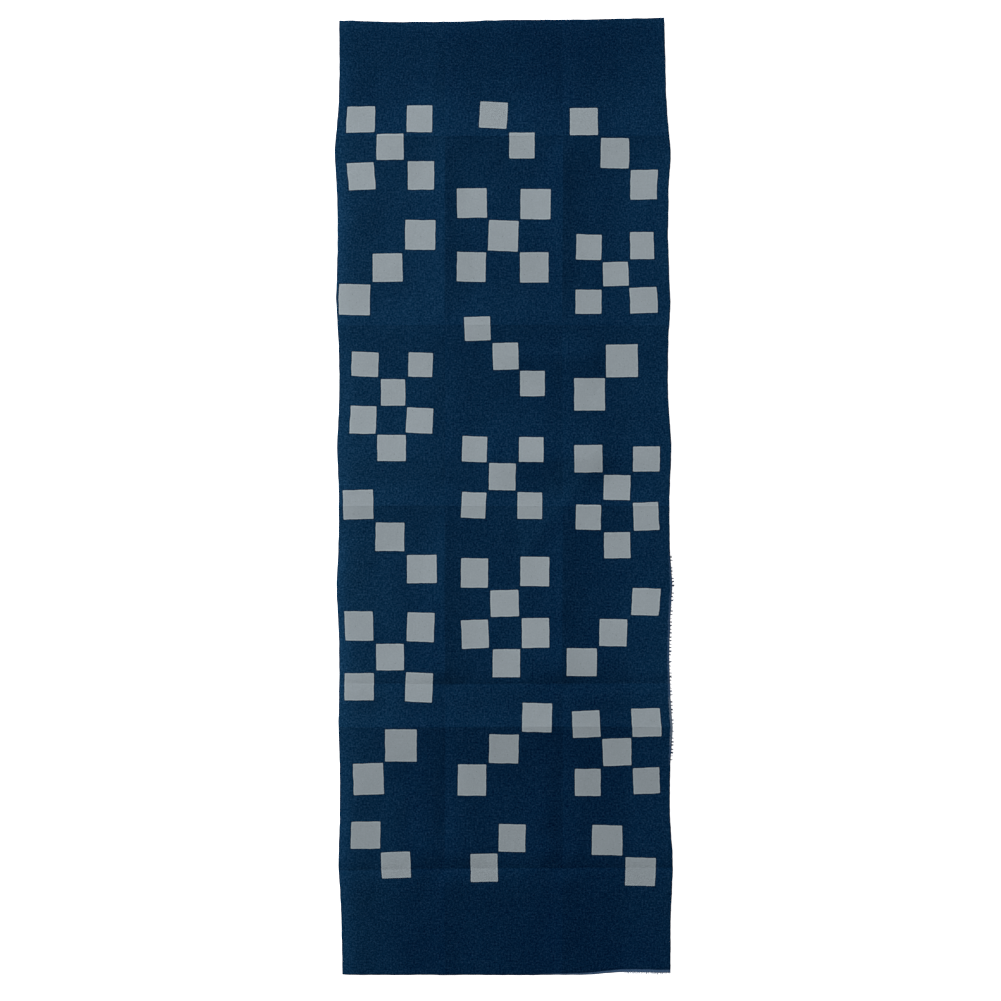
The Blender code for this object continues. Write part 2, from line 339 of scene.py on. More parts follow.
def ripples(across, along, shortest, longest, count, seed):
    """Uneven small waves in many directions, about -1 to 1."""
    draw = random.Random(seed)
    total = np.zeros(np.broadcast(across, along).shape)
    for _ in range(count):
        angle = draw.uniform(0.0, math.pi)
        length = draw.uniform(shortest, longest)
        turn = across * math.cos(angle) + along * math.sin(angle)
        total += wave(turn, length, draw.uniform(0.0, 2.0 * math.pi))
    return total / math.sqrt(2.0 * count)


def edge_ripple(across, along, ripple):
    """The fine unevenness of one edge."""
    height, shortest, longest, seed = ripple
    return height * ripples(across, along, shortest, longest, EDGE_WAVES, seed)


def woven_edges(along):
    """The places across the cloth of its left and right woven edges."""
    left = along_table(OUTLINE, 1, along)
    right = along_table(OUTLINE, 2, along)
    for place, left_pull, right_pull in PINS:
        draw = 1.0 / np.cosh((along - place) / PIN_REACH)
        left = left - left_pull * draw
        right = right + right_pull * draw
    left = left + edge_ripple(0.0, along, LEFT_RIPPLE)
    right = right + edge_ripple(0.0, along, RIGHT_RIPPLE)
    return left, right


def cut_ends(across):
    """The places along the cloth of its foot and head ends, a little uneven from the scissors."""
    foot = -HALF_LENGTH + along_table(CUT_ENDS, 2, across)
    head = HALF_LENGTH - along_table(CUT_ENDS, 1, across)
    foot = foot + edge_ripple(across, 0.0, FOOT_RIPPLE)
    head = head + edge_ripple(across, 0.0, HEAD_RIPPLE)
    return foot, head


def pressed_line(distance, rise, reach):
    """The height of a ridge, or of the arch beside a trough, at a distance from the pressed line."""
    away = (np.hypot(distance, CREASE_RADIUS) - CREASE_RADIUS) / reach
    flank = np.clip(1.0 - away, 0.0, 1.0) ** 2
    return np.where(rise >= 0.0, rise * flank, -rise * ARCH_FACTOR * away * flank)


def cross_distance(number, across, along):
    """How far points lie from a cross crease, positive on its head side."""
    place, slant = CROSS_CREASES[number][:2]
    wander = WANDER * wave(across, WANDER_LENGTH, CROSS_WANDER_SHIFT * number)
    return along - place - slant * across - wander


def long_distance(number, across, along):
    """How far points lie from a long crease, positive on its right side."""
    wander = WANDER * wave(along, WANDER_LENGTH, LONG_WANDER_SHIFT * number)
    return across - LONG_CREASES[number][0] - wander


def panel_rise(rises, along):
    """The rise of a long crease, blended from panel to panel at the cross creases."""
    rise = np.full(np.shape(along), rises[0])
    for number, cross in enumerate(CROSS_CREASES):
        share = smooth_step((cross[0] - along) / (2 * PANEL_BLEND) + 0.5)
        rise = rise + (rises[number + 1] - rises[number]) * share
    return rise


def soft_ridge_heights(across, along):
    """The ridges that were never pressed: full in the cloth's middle, and lower or gone beside it."""
    middle = smooth_step((across - SOFT_RIDGE_LEFT) / SOFT_RIDGE_FADE)
    middle = middle * smooth_step((SOFT_RIDGE_RIGHT - across) / SOFT_RIDGE_FADE)
    heights = []
    for place, rise, head_reach, foot_reach, share in SOFT_RIDGES:
        distance = along - place
        reach = np.where(distance > 0.0, head_reach, foot_reach)
        away = (np.hypot(distance, SOFT_RIDGE_ROUNDNESS) - SOFT_RIDGE_ROUNDNESS) / reach
        strength = share + (1.0 - share) * middle
        heights.append(strength * rise * np.clip(1.0 - away, 0.0, 1.0) ** SOFT_RIDGE_POWER)
    return heights


def underside_height(across, along):
    """How high the cloth's underside stands above the surface. Low relief lies flat on it."""
    heights = []
    for number, (_, _, rise, head_reach, foot_reach, phase) in enumerate(CROSS_CREASES):
        distance = cross_distance(number, across, along)
        reach = np.where(distance > 0.0, head_reach, foot_reach)
        strength = 1.0 + FADE * wave(across, FADE_LENGTH, phase)
        heights.append(strength * pressed_line(distance, rise, reach))
    for number, (_, reach, rises) in enumerate(LONG_CREASES):
        distance = long_distance(number, across, along)
        heights.append(pressed_line(distance, panel_rise(rises, along), reach))
    heights += soft_ridge_heights(across, along)
    left, right = woven_edges(along)
    foot, head = cut_ends(across)
    corner = np.hypot(right - across, along - foot)
    for distance, (rise, reach) in (
        (head - along, HEAD_CURL),
        (right - across, RIGHT_CURL),
        (corner, FOOT_CORNER_CURL),
    ):
        heights.append(rise * np.exp(-((distance / reach) ** 2)))
    rolled = np.clip(across - left, 0.0, None) / LEFT_ROLL[1]
    heights.append(LEFT_ROLL[0] * rolled * np.exp(1.0 - rolled))
    relief = sum(np.clip(height, 0.0, None) ** JOINING_POWER for height in heights)
    above = relief ** (1.0 / JOINING_POWER) - REST_DEPTH
    for height, across_length, along_length, phase in SWELLS:
        above = above + height * wave(across / across_length + along / along_length, 1.0, phase)
    above = np.clip(above, 0.0, None)
    return above * above / (above + SETTLE_DEPTH)


def pinch(distance):
    """The height beside a furrow: 0 in its line, 1 close beside it and fading away from there."""
    return (1.0 - np.exp(-np.abs(distance) / PINCH_WIDTH)) * np.exp(-((distance / PINCH_REACH) ** 2))


def soft_height(across, along):
    """The underside with its furrows pinched in and the small puckers of washed cotton added."""
    height = underside_height(across, along)
    for number, (_, _, rise, *_) in enumerate(CROSS_CREASES):
        if rise < 0.0:
            height = height + PINCH_HEIGHT * pinch(cross_distance(number, across, along))
    for number, (_, _, rises) in enumerate(LONG_CREASES):
        share = np.clip(-panel_rise(rises, along) / LONG_PINCH_DEPTH, 0.0, 1.0)
        beside = pinch(long_distance(number, across, along))
        height = height + LONG_PINCH_HEIGHT * share * beside
    for pucker, shortest, longest, count, seed in PUCKERS:
        height = height + pucker * ripples(across, along, shortest, longest, count, seed)
    return np.clip(height, 0.0, None)


def even_places(half, step, hem_steps, lines):
    """Places from -half to half: fine ones at both edges and at the lines, and even ones between."""
    inner = half - hem_steps[-1]
    count = round(2 * inner / step)
    middle = np.linspace(-inner, inner, count + 1)
    for line in lines:
        middle = middle[np.abs(middle - line) > LINE_GAP_SHARE * step]
        middle = np.append(middle, line + np.array(LINE_GRID))
    rim = half - np.array(hem_steps[:-1])
    return np.concatenate((-rim, np.sort(middle), rim[::-1]))


def laid_out(flat_across, flat_along):
    """Where points of the flat cloth lie on the surface, before they are centred."""
    left, right = woven_edges(flat_along)
    near_left = smooth_step(1.0 - (flat_across + HALF_WIDTH) / EDGE_STRETCH)
    near_right = smooth_step(1.0 - (HALF_WIDTH - flat_across) / EDGE_STRETCH)
    across = flat_across + (left + HALF_WIDTH) * near_left + (right - HALF_WIDTH) * near_right
    foot, head = cut_ends(across)
    near_foot = smooth_step(1.0 - (flat_along + HALF_LENGTH) / EDGE_STRETCH)
    near_head = smooth_step(1.0 - (HALF_LENGTH - flat_along) / EDGE_STRETCH)
    along = flat_along + (foot + HALF_LENGTH) * near_foot + (head - HALF_LENGTH) * near_head
    return across, along


def print_squares():
    """The resist print's squares: (across, along, turn, half width, half height, tone)."""
    draw = random.Random(PRINT_SEED)

    def about(usual, spread):
        return usual + draw.uniform(-spread, spread)

    squares = []
    for patch, across, along, scale in PRINT:
        places = PATCHES[patch]
        size = SQUARE_SIZE * scale
        middle_column = sum(column for column, _ in places) / len(places)
        middle_row = sum(row for _, row in places) / len(places)
        group_turn = about(0.0, GROUP_TURN)
        cosine, sine = math.cos(group_turn), math.sin(group_turn)
        for column, row in places:
            step_across = (column - middle_column) * CHECK_MODULE * scale
            step_along = (row - middle_row) * CHECK_MODULE * scale
            square = (
                about(across + (step_across * cosine - step_along * sine), SQUARE_SHIFT),
                about(along + (step_across * sine + step_along * cosine), SQUARE_SHIFT),
                about(group_turn, SQUARE_TURN),
                about(size, SQUARE_SIZE_SPREAD) / 2,
                about(size, SQUARE_SIZE_SPREAD) / 2,
                draw.random(),
            )
            squares.append(square)
    return squares


def square_distances(square, across, along):
    """How far points lie outside a square's sides, across and along it. Negative is inside."""
    middle_across, middle_along, turn, half_width, half_height, _ = square
    cosine, sine = math.cos(turn), math.sin(turn)
    shifted_across, shifted_along = across - middle_across, along - middle_along
    return (
        np.abs(shifted_across * cosine + shifted_along * sine) - half_width,
        np.abs(shifted_along * cosine - shifted_across * sine) - half_height,
    )


def print_attributes(mesh, corners):
    """Gives every face corner its distances from the two squares nearest to its face."""
    squares = print_squares()
    middles = corners.reshape(-1, 4, 2).mean(axis=1)
    outside = [np.maximum(*square_distances(square, *middles.T)) for square in squares]
    order = np.argsort(outside, axis=0)
    for rank, name in enumerate(("first_square", "second_square")):
        nearest = np.repeat(order[rank], 4)
        values = np.zeros((len(corners), 3), dtype=np.float32)
        for number, square in enumerate(squares):
            own = nearest == number
            values[own, 0], values[own, 1] = square_distances(
                square, corners[own, 0], corners[own, 1]
            )
            values[own, 2] = square[5]
        attribute = mesh.attributes.new(name, "FLOAT_VECTOR", "CORNER")
        attribute.data.foreach_set("vector", values.ravel())


def crease_attributes(mesh, across, along):
    """Gives every point its distances from the nearest pressed lines, and how those lines stand."""
    order = np.arange(len(across))
    cross = np.stack(
        [cross_distance(number, across, along) for number in range(len(CROSS_CREASES))]
    )
    long = np.stack([long_distance(number, across, along) for number in range(len(LONG_CREASES))])
    nearest_cross, nearest_long = np.abs(cross).argmin(axis=0), np.abs(long).argmin(axis=0)
    cross_rises = np.array([crease[2] for crease in CROSS_CREASES])
    long_rises = np.stack([panel_rise(rises, along) for _, _, rises in LONG_CREASES])
    for name, distance, rise in (
        ("cross_crease", cross[nearest_cross, order], cross_rises[nearest_cross]),
        ("long_crease", long[nearest_long, order], long_rises[nearest_long, order]),
    ):
        values = np.zeros((len(across), 3), dtype=np.float32)
        values[:, 0], values[:, 1] = distance, np.clip(rise / FULL_LINE_RISE, -1.0, 1.0)
        attribute = mesh.attributes.new(name, "FLOAT_VECTOR", "POINT")
        attribute.data.foreach_set("vector", values.ravel())


def lean_attribute(mesh, low, across, along, border):
    """Gives every point its lean: how steeply the cloth climbs away from the light, upper left."""
    climb_across = np.gradient(low, axis=1) / np.gradient(across, axis=1)
    climb_along = np.gradient(low, axis=0) / np.gradient(along, axis=0)
    lean = np.clip(climb_across - climb_along, -STEEPEST_LEAN, STEEPEST_LEAN)
    values = np.concatenate((lean.ravel(), lean[~border])).astype(np.float32)
    mesh.attributes.new("lean", "FLOAT", "POINT").data.foreach_set("value", values)


def cloth_mesh(name, thickness, step):
    """A thin closed sheet whose two faces meet at its edges. Its UV map is the flat cloth."""
    columns = even_places(HALF_WIDTH, step, HEM_COLUMNS, [crease[0] for crease in LONG_CREASES])
    row_lines = [crease[0] for crease in CROSS_CREASES if crease[1] == 0.0]
    for place in [crease[0] for crease in CROSS_CREASES if crease[1] != 0.0]:
        row_lines += [place - SLANTED_LINE_OFFSET, place + SLANTED_LINE_OFFSET]
    rows = even_places(HALF_LENGTH, step, HEM_ROWS, row_lines)
    flat_across, flat_along = np.meshgrid(columns, rows)
    across, along = laid_out(flat_across, flat_along)
    low = soft_height(across, along) + CLEARANCE
    laid = np.stack((across, along), -1)
    across = across - (across.min() + across.max()) / 2
    along = along - (along.min() + along.max()) / 2
    row_count, column_count = across.shape
    border = np.ones(across.shape, dtype=bool)
    border[1:-1, 1:-1] = False

    over = np.stack((across, along, np.where(border, low + thickness / 2, low + thickness)), -1)
    under = np.stack((across, along, low), -1)
    over_index = np.arange(row_count * column_count).reshape(across.shape)
    under_index = over_index.copy()
    under_index[~border] = row_count * column_count + np.arange((~border).sum())
    points = np.concatenate((over.reshape(-1, 3), under[~border]))
    flat = np.stack((flat_across, flat_along), -1)
    flat_points = np.concatenate((flat.reshape(-1, 2), flat[~border]))

    def quads(index):
        return np.stack((index[:-1, :-1], index[:-1, 1:], index[1:, 1:], index[1:, :-1]), -1)

    faces = np.concatenate(
        (quads(over_index).reshape(-1, 4), quads(under_index).reshape(-1, 4)[:, ::-1])
    )
    mesh = bpy.data.meshes.new(name)
    mesh.from_pydata(points.tolist(), [], faces.tolist())
    mesh.update()
    mesh.shade_smooth()

    loops = np.empty(len(mesh.loops), dtype=np.int32)
    mesh.loops.foreach_get("vertex_index", loops)
    corners = flat_points[loops]
    uv_map = mesh.uv_layers.new(name="flat_cloth")
    uv_map.data.foreach_set("uv", corners.astype(np.float32).ravel())
    print_attributes(mesh, corners)
    laid_points = np.concatenate((laid.reshape(-1, 2), laid[~border]))
    crease_attributes(mesh, laid_points[:, 0], laid_points[:, 1])
    lean_attribute(mesh, low, across, along, border)
    return mesh


def edge_line(name, flat_across, flat_along, thickness):
    """A mesh line of points along one edge of the laid cloth."""
    across, along = laid_out(flat_across, flat_along)
    left, right = woven_edges(np.linspace(-HALF_LENGTH, HALF_LENGTH, WOVEN_EDGE_POINTS))
    foot, head = cut_ends(np.linspace(-HALF_WIDTH, HALF_WIDTH, CUT_END_POINTS))
    low = soft_height(across, along) + CLEARANCE + thickness / 2
    across = across - (left.min() + right.max()) / 2
    along = along - (foot.min() + head.max()) / 2
    points = np.stack((across, along, low), -1)
    edges = [(number, number + 1) for number in range(len(points) - 1)]
    mesh = bpy.data.meshes.new(name)
    mesh.from_pydata(points.tolist(), edges, [])
    return mesh


def fill(node, values):
    """Sets a node's sockets, or links them where a value comes from another node."""
    for key, value in values.items():
        if isinstance(value, Flow):
            value.tree.links.new(value.socket, node.inputs[key])
        else:
            node.inputs[key].default_value = value


class Flow:
    """A socket in a node tree of a material or of geometry. Arithmetic on it adds Math nodes."""

    def __init__(self, tree, socket=None):
        self.tree = tree
        self.socket = socket

    def node(self, kind, settings=None, values=None, output=0):
        """Adds a node of a type, sets it up, fills its sockets, and returns an output."""
        node = self.tree.nodes.new(kind)
        for key, value in (settings or {}).items():
            setattr(node, key, value)
        fill(node, values or {})
        return Flow(self.tree, node.outputs[output])

    def beside(self, output):
        """Another output of the same node."""
        return Flow(self.tree, self.socket.node.outputs[output])

    def attribute(self, name, output="Vector"):
        """One of the mesh's attributes."""
        return self.node("ShaderNodeAttribute", {"attribute_name": name}, output=output)

    def maths(self, operation, *others, kind="ShaderNodeMath"):
        """A maths node with this value first."""
        return self.node(kind, {"operation": operation}, dict(enumerate((self, *others))))

    def __add__(self, other):
        return self.maths("ADD", other)

    def __sub__(self, other):
        return self.maths("SUBTRACT", other)

    def __rsub__(self, other):
        return self.node("ShaderNodeMath", {"operation": "SUBTRACT"}, {0: other, 1: self})

    def __mul__(self, other):
        return self.maths("MULTIPLY", other)

    def __abs__(self):
        return self.maths("ABSOLUTE")

    __radd__ = __add__
    __rmul__ = __mul__

    def ramp(self, low, high, start=0.0, end=1.0):
        """A smooth rise from start at low to end at high."""
        return self.node(
            "ShaderNodeMapRange",
            {"interpolation_type": "SMOOTHSTEP"},
            {"Value": self, "From Min": low, "From Max": high, "To Min": start, "To Max": end},
        )

    def parts(self):
        """The three numbers of a vector."""
        first = self.node("ShaderNodeSeparateXYZ", values={0: self})
        return first, first.beside(1), first.beside(2)

    def blend(self, first, second, **settings):
        """A colour between two, with this value as the share of the second."""
        settings = {"data_type": "RGBA", **settings}
        return self.node("ShaderNodeMix", settings, {0: self, 6: first, 7: second}, output=2)

    def tinted(self, colour):
        """A colour multiplied by this value."""
        grey = self.node("ShaderNodeCombineColor", values={0: self, 1: self, 2: self})
        settings = {"data_type": "RGBA", "blend_type": "MULTIPLY"}
        return self.node("ShaderNodeMix", settings, {0: 1.0, 6: colour, 7: grey}, output=2)


def flat_noise(across, along, across_size, along_size, seed, detail):
    """Noise over the flat cloth, 0 to 1, with its grain's sizes across and along in metres."""
    place = across.node(
        "ShaderNodeCombineXYZ",
        values={0: across * (1.0 / across_size), 1: along * (1.0 / along_size), 2: seed},
    )
    return across.node(
        "ShaderNodeTexNoise",
        {"noise_dimensions": "3D"},
        {"Vector": place, "Scale": 1.0, "Detail": detail, "Roughness": 0.5},
    )


def new_material(name):
    """A material with only a Principled BSDF and its output, that shader, and the tree's start."""
    material = bpy.data.materials.new(name)
    material.use_nodes = True
    tree = material.node_tree
    return material, tree.nodes["Principled BSDF"], Flow(tree)


def plain_weave(across, along, pitch):
    """The height of plain-woven yarns, 0 to 1, over the flat cloth."""
    warp = (across * (math.pi / pitch)).maths("SINE")
    weft = (along * (math.pi / pitch)).maths("SINE")
    warp_on_top = (warp * weft).maths("GREATER_THAN", 0.0)
    warp_size, weft_size = abs(warp), abs(weft)
    top = warp_size * warp_on_top + weft_size * (1.0 - warp_on_top)
    return (warp_size * weft_size * top).maths("SQRT")


def square_outline(start, across, along):
    """How far points lie outside the nearest square, and that square's own tone.

    The outline has the small waver of a hand-cut stencil and of the yarns.
    """
    waver = (flat_noise(across, along, *HAND_WAVER) - 0.5) * HAND_WAVER_WIDTH
    waver = waver + (flat_noise(across, along, *YARN_WAVER) - 0.5) * YARN_WAVER_WIDTH
    sideways, lengthways, own_tone = start.attribute("first_square").parts()
    first = sideways.maths("SMOOTH_MAX", lengthways, CORNER_ROUNDING)
    sideways, lengthways, _ = start.attribute("second_square").parts()
    second = sideways.maths("SMOOTH_MAX", lengthways, CORNER_ROUNDING)
    return first.maths("MINIMUM", second) + waver, own_tone


def dye_speckle(across, along, mottle, yarn):
    """Slubs along single yarns, and the mottle of yarns that took more or less dye."""
    warp_yarn = (across * (1.0 / yarn)).maths("FLOOR")
    weft_yarn = (along * (1.0 / yarn)).maths("FLOOR")
    warp_slub = flat_noise(warp_yarn, along, *WARP_SLUBS)
    weft_slub = flat_noise(weft_yarn, across, *WEFT_SLUBS)
    speckle = (warp_slub + weft_slub - 1.0) * 0.9 + (mottle - 0.5) * 3.6
    return speckle + speckle * speckle * 0.24 - 0.015


def dye_and_painted_light_tone(across, along, clouds):
    """Slow changes of the cloth's paleness, about 1: cloudy patches of dye, painted light towards
    the upper left, and the changes of the table.
    """
    small_clouds = flat_noise(across, along, *SMALL_CLOUDS) - 0.5
    # Painted light: paler towards the upper left, where the lamp stands.
    tone = 1.0 - across * 0.40 + along * 0.10 + clouds * 0.32 + small_clouds * 0.18
    places = (across, along, abs(along - (across - LIT_STREAK_MIDDLE) * LIT_STREAK_SLOPE))
    for ramps in DYE_AND_PAINTED_LIGHT_CHANGES:
        share = math.prod(places[place].ramp(*numbers) for place, *numbers in ramps)
        tone = tone * (1.0 + share)
    return tone


def dyed_colour(settings, speckle, tone):
    """Indigo. Where less dye holds, and where the tone carries painted light, more of the pale
    cotton shows.
    """
    clamps = {"clamp_factor": False, "clamp_result": True}
    share = (speckle * (0.176 + tone * 0.53) + tone * 0.85 - 0.463) * 1.127
    colour = share.blend((*settings.indigo, 1.0), (*settings.indigo_fleck, 1.0), **clamps)
    return speckle.blend(colour, (FLECK_RED, 0.0, 0.0, 1.0), blend_type="ADD", **clamps)


def undyed_tone(flat_place, speckle, clouds, weave, own_tone):
    """How pale the undyed squares are: a little uneven, with a few dark pinholes, painted light
    towards the upper left, and painted shade and highlights on the weave.
    """
    across, along, _ = flat_place.parts()
    grains = across.node(
        "ShaderNodeTexVoronoi",
        {"voronoi_dimensions": "2D"},
        {"Vector": flat_place, "Scale": 90.0, "Randomness": 1.0},
    )
    hole = grains.maths("LESS_THAN", 0.035)
    tone = 1.0 + speckle * 0.06 + clouds * 0.10 + (own_tone - 0.5) * 0.05
    # Painted shade between the yarns, painted highlights on their crowns, and painted light that
    # grows towards the upper left, where the lamp stands.
    tone = tone * (0.95 + weave * 0.10) * (1.0 - across * 0.14 + along * 0.06)
    tone = tone * along.ramp(-0.2440, -0.2370, 0.985, 1.055) * along.ramp(0.10, 0.22, 1.0, 0.955)
    return tone * (1.0 - hole * 0.35)


def worn_rims_and_shadow_line(colour, settings, across, along, mottle):
    """A colour with the right woven edge's worn rim, the raw yarns at the foot's right end, and a
    painted shadow line just inside those yarns.
    """
    worn_part = along.ramp(-0.285, -0.265) * along.ramp(-0.09, -0.05, 1.0, 0.0)
    rubbed_part = along.ramp(-0.262, -0.254) * along.ramp(-0.215, -0.205, 1.0, 0.0)
    right_rim = (across + (mottle - 0.5) * 0.0016).ramp(HALF_WIDTH - 0.0030, HALF_WIDTH - 0.0014)
    right_rim = right_rim * worn_part
    frayed_part = across.ramp(0.02, 0.09)
    from_foot = along + HALF_LENGTH - across.ramp(0.05, 0.15) * 0.0016
    foot_rim = (from_foot + (mottle - 0.5) * 0.0006).ramp(0.0012, 0.0020, 1.0, 0.0) * frayed_part
    # A painted shadow line just inside the raw yarns at the foot's right end.
    foot_shadow_line = abs(from_foot - 0.0030).ramp(0.0002, 0.0013, 1.0, 0.0) * frayed_part
    colour = (1.0 - foot_shadow_line * 0.20).tinted(colour)
    worn = (right_rim * 0.7).maths("MAXIMUM", foot_rim)
    colour = (worn * 0.9).blend(colour, (*settings.worn_edge, 1.0))
    return (right_rim * rubbed_part * 0.28).blend(colour, (*settings.resist_rim, 1.0))


def pressed_yarns(start):
    """The pressed lines: a fine ridge or furrow in the yarns, from -1 to 1."""
    line = 0.0
    for name in ("cross_crease", "long_crease"):
        distance, rise, _ = start.attribute(name).parts()
        away = abs(distance) * (-1.0 / YARN_LINE_WIDTH)
        line = line + away.maths("EXPONENT") * rise
    return line


def cotton_material(settings):
    """Indigo-dyed plain weave with pale squares that the resist kept from the dye."""
    material, shader, start = new_material("indigo_resist_cotton")
    flat_place = start.node("ShaderNodeUVMap", {"uv_map": "flat_cloth"})
    across, along, _ = flat_place.parts()
    outside, own_tone = square_outline(start, across, along)
    resist = outside.ramp(-OUTLINE_BLUR, OUTLINE_BLUR, 1.0, 0.0)
    mottle = flat_noise(across, along, *MOTTLE)
    clouds = flat_noise(across, along, *CLOUDS) - 0.5
    speckle = dye_speckle(across, along, mottle, settings.yarn_pitch)
    weave = plain_weave(across, along, settings.yarn_pitch)
    lean = start.attribute("lean", "Fac")

    # The dye is darker beside the squares. In the cloth's middle the folds show less: painted shade
    # on their lit sides and painted light on their shaded sides.
    dark_line = outside.ramp(0.0002, 0.0020, 1.0, 0.0)
    painted_fold_shade = 1.0 - lean * along.ramp(-0.05, -0.02) * along.ramp(0.22, 0.30, 0.25, 0.0)
    indigo = dyed_colour(settings, speckle, dye_and_painted_light_tone(across, along, clouds))
    # Painted shade in the gaps between the yarns and painted highlights on their crowns.
    indigo = ((0.86 + weave * 0.28) * (1.0 - dark_line * 0.30) * painted_fold_shade).tinted(indigo)

    # The squares have a paler rim. They show the folds less than the dyed cloth does, with painted
    # shade on the folds' lit sides and painted light on their shaded sides.
    pale = undyed_tone(flat_place, speckle, clouds, weave, own_tone) * (1.0 - lean * 0.65)
    pale_rim = outside.ramp(-0.0014, -0.0004) * resist
    grey = pale.tinted((*settings.resist_grey, 1.0))
    rim = (pale * 1.14).tinted((*settings.resist_rim, 1.0))
    grey = (pale_rim * 0.9).blend(grey, rim)
    colour = worn_rims_and_shadow_line(resist.blend(indigo, grey), settings, across, along, mottle)

    relief = weave * 0.00010 + speckle * 0.00003 + pressed_yarns(start) * 0.00016
    bump = {"Strength": 1.0, "Distance": 1.0, "Height": relief}
    looks = {
        "Base Color": colour,
        "Roughness": resist.ramp(0.0, 1.0, 0.60, 0.85) - weave * 0.05,
        "Normal": start.node("ShaderNodeBump", values=bump),
        "Specular IOR Level": 0.02,
        "Specular Tint": (0.20, 0.55, 1.0, 1.0),
    }
    fill(shader, looks)
    return material


def yarn_material(name, settings, pale_share):
    """The twisted fibre of loose yarn ends, partly worn pale."""
    material, shader, start = new_material(name)
    place = start.node("ShaderNodeTexCoord", output="Object")
    grain = {"Vector": place, "Scale": 900.0, "Detail": 1.0}
    fibre = start.node("ShaderNodeTexNoise", values=grain)
    patches = start.node("ShaderNodeTexNoise", values={"Vector": place, "Scale": 160.0})
    share = (patches + (pale_share - 0.5)).ramp(0.38, 0.62)
    colour = share.blend((*settings.indigo, 1.0), (*settings.worn_edge, 1.0))
    bump = {"Strength": 0.5, "Distance": 0.0001, "Height": fibre}
    looks = {
        "Base Color": (0.7 + fibre * 0.6).tinted(colour),
        "Normal": start.node("ShaderNodeBump", values=bump),
        "Roughness": 0.95,
        "Specular IOR Level": 0.05,
    }
    fill(shader, looks)
    return material


def yarn_end_tree():
    """A node group that stands short bent yarn ends out from a line of points."""
    tree = bpy.data.node_groups.new("yarn_ends", "GeometryNodeTree")
    for kind, names in (
        ("Geometry", ("Geometry",)),
        ("Int", ("Count", "Tufts", "Seed")),
        ("Float", ("Length", "Thickness", "Spread", "Side")),
        ("Material", ("Material",)),
    ):
        for name in names:
            tree.interface.new_socket(name, in_out="INPUT", socket_type="NodeSocket" + kind)
    tree.interface.new_socket("Geometry", in_out="OUTPUT", socket_type="NodeSocketGeometry")
    start = Flow(tree)
    given = start.node("NodeGroupInput")
    tufts = given.beside("Tufts")

    def chance(low, high, step):
        """A random number for each strand. Each step draws its own."""
        return start.node(
            "FunctionNodeRandomValue",
            {"data_type": "FLOAT"},
            {2: low, 3: high, "Seed": given.beside("Seed") + step},
            output=1,
        )

    # Each strand stands in one of the tufts, which are evenly spaced along the line.
    line = start.node("GeometryNodeMeshToCurve", values={"Mesh": given})
    tuft = (chance(0.0, 1.0, 0) * tufts).maths("FLOOR")
    sample = start.node(
        "GeometryNodeSampleCurve",
        {"mode": "FACTOR", "use_all_curves": True},
        {"Curves": line, "Factor": (tuft + chance(0.0, 0.3, 5)).maths("DIVIDE", tufts)},
        output="Position",
    )
    points = start.node(
        "GeometryNodePoints", values={"Count": given.beside("Count"), "Position": sample}
    )

    # It points away from the cloth, turned a little sideways, up and about itself.
    vectors = "ShaderNodeVectorMath"
    outward = sample.beside("Tangent").maths("CROSS_PRODUCT", (0.0, 0.0, 1.0), kind=vectors)
    outward = outward.maths("MULTIPLY", given.beside("Side"), kind=vectors)
    aligned = start.node("FunctionNodeAlignRotationToVector", {"axis": "X"}, {"Vector": outward})
    swing = chance(-1.0, 1.0, 1) * given.beside("Spread")
    swung = start.node(
        "ShaderNodeCombineXYZ",
        values={"X": chance(-1.3, 1.3, 2), "Y": chance(-0.30, 0.02, 3), "Z": swing},
    )
    to_turn = start.node("FunctionNodeEulerToRotation", values={"Euler": swung})
    turned = start.node(
        "FunctionNodeRotateRotation",
        {"rotation_space": "LOCAL"},
        {"Rotation": aligned, "Rotate By": to_turn},
    )

    # The strand itself is a bent tube that begins a little inside the cloth.
    tip = start.node("ShaderNodeCombineXYZ", values={"X": given.beside("Length")})
    bend = tip.maths("MULTIPLY_ADD", (0.62, 0.0, 0.0), (0.0, 0.0, 0.0005), kind=vectors)
    strand = start.node(
        "GeometryNodeCurveQuadraticBezier",
        values={"Resolution": 4, "Start": (-0.0006, 0.0, 0.0), "Middle": bend, "End": tip},
    )
    ring = start.node(
        "GeometryNodeCurvePrimitiveCircle",
        {"mode": "RADIUS"},
        {"Resolution": 4, "Radius": given.beside("Thickness") * 0.5},
    )
    tube = start.node(
        "GeometryNodeCurveToMesh",
        values={"Curve": strand, "Profile Curve": ring, "Fill Caps": True},
    )
    placed = start.node(
        "GeometryNodeInstanceOnPoints",
        values={
            "Points": points,
            "Instance": tube,
            "Rotation": turned,
            "Scale": chance(0.45, 1.35, 4),
        },
    )
    real = start.node("GeometryNodeRealizeInstances", values={"Geometry": placed})
    finish = start.node(
        "GeometryNodeSetMaterial",
        values={"Geometry": real, "Material": given.beside("Material")},
    )
    fill(tree.nodes.new("NodeGroupOutput"), {0: finish})
    return tree


def link_object(name, data):
    """A new object at the origin of the scene."""
    made = bpy.data.objects.new(name, data)
    bpy.context.scene.collection.objects.link(made)
    return made


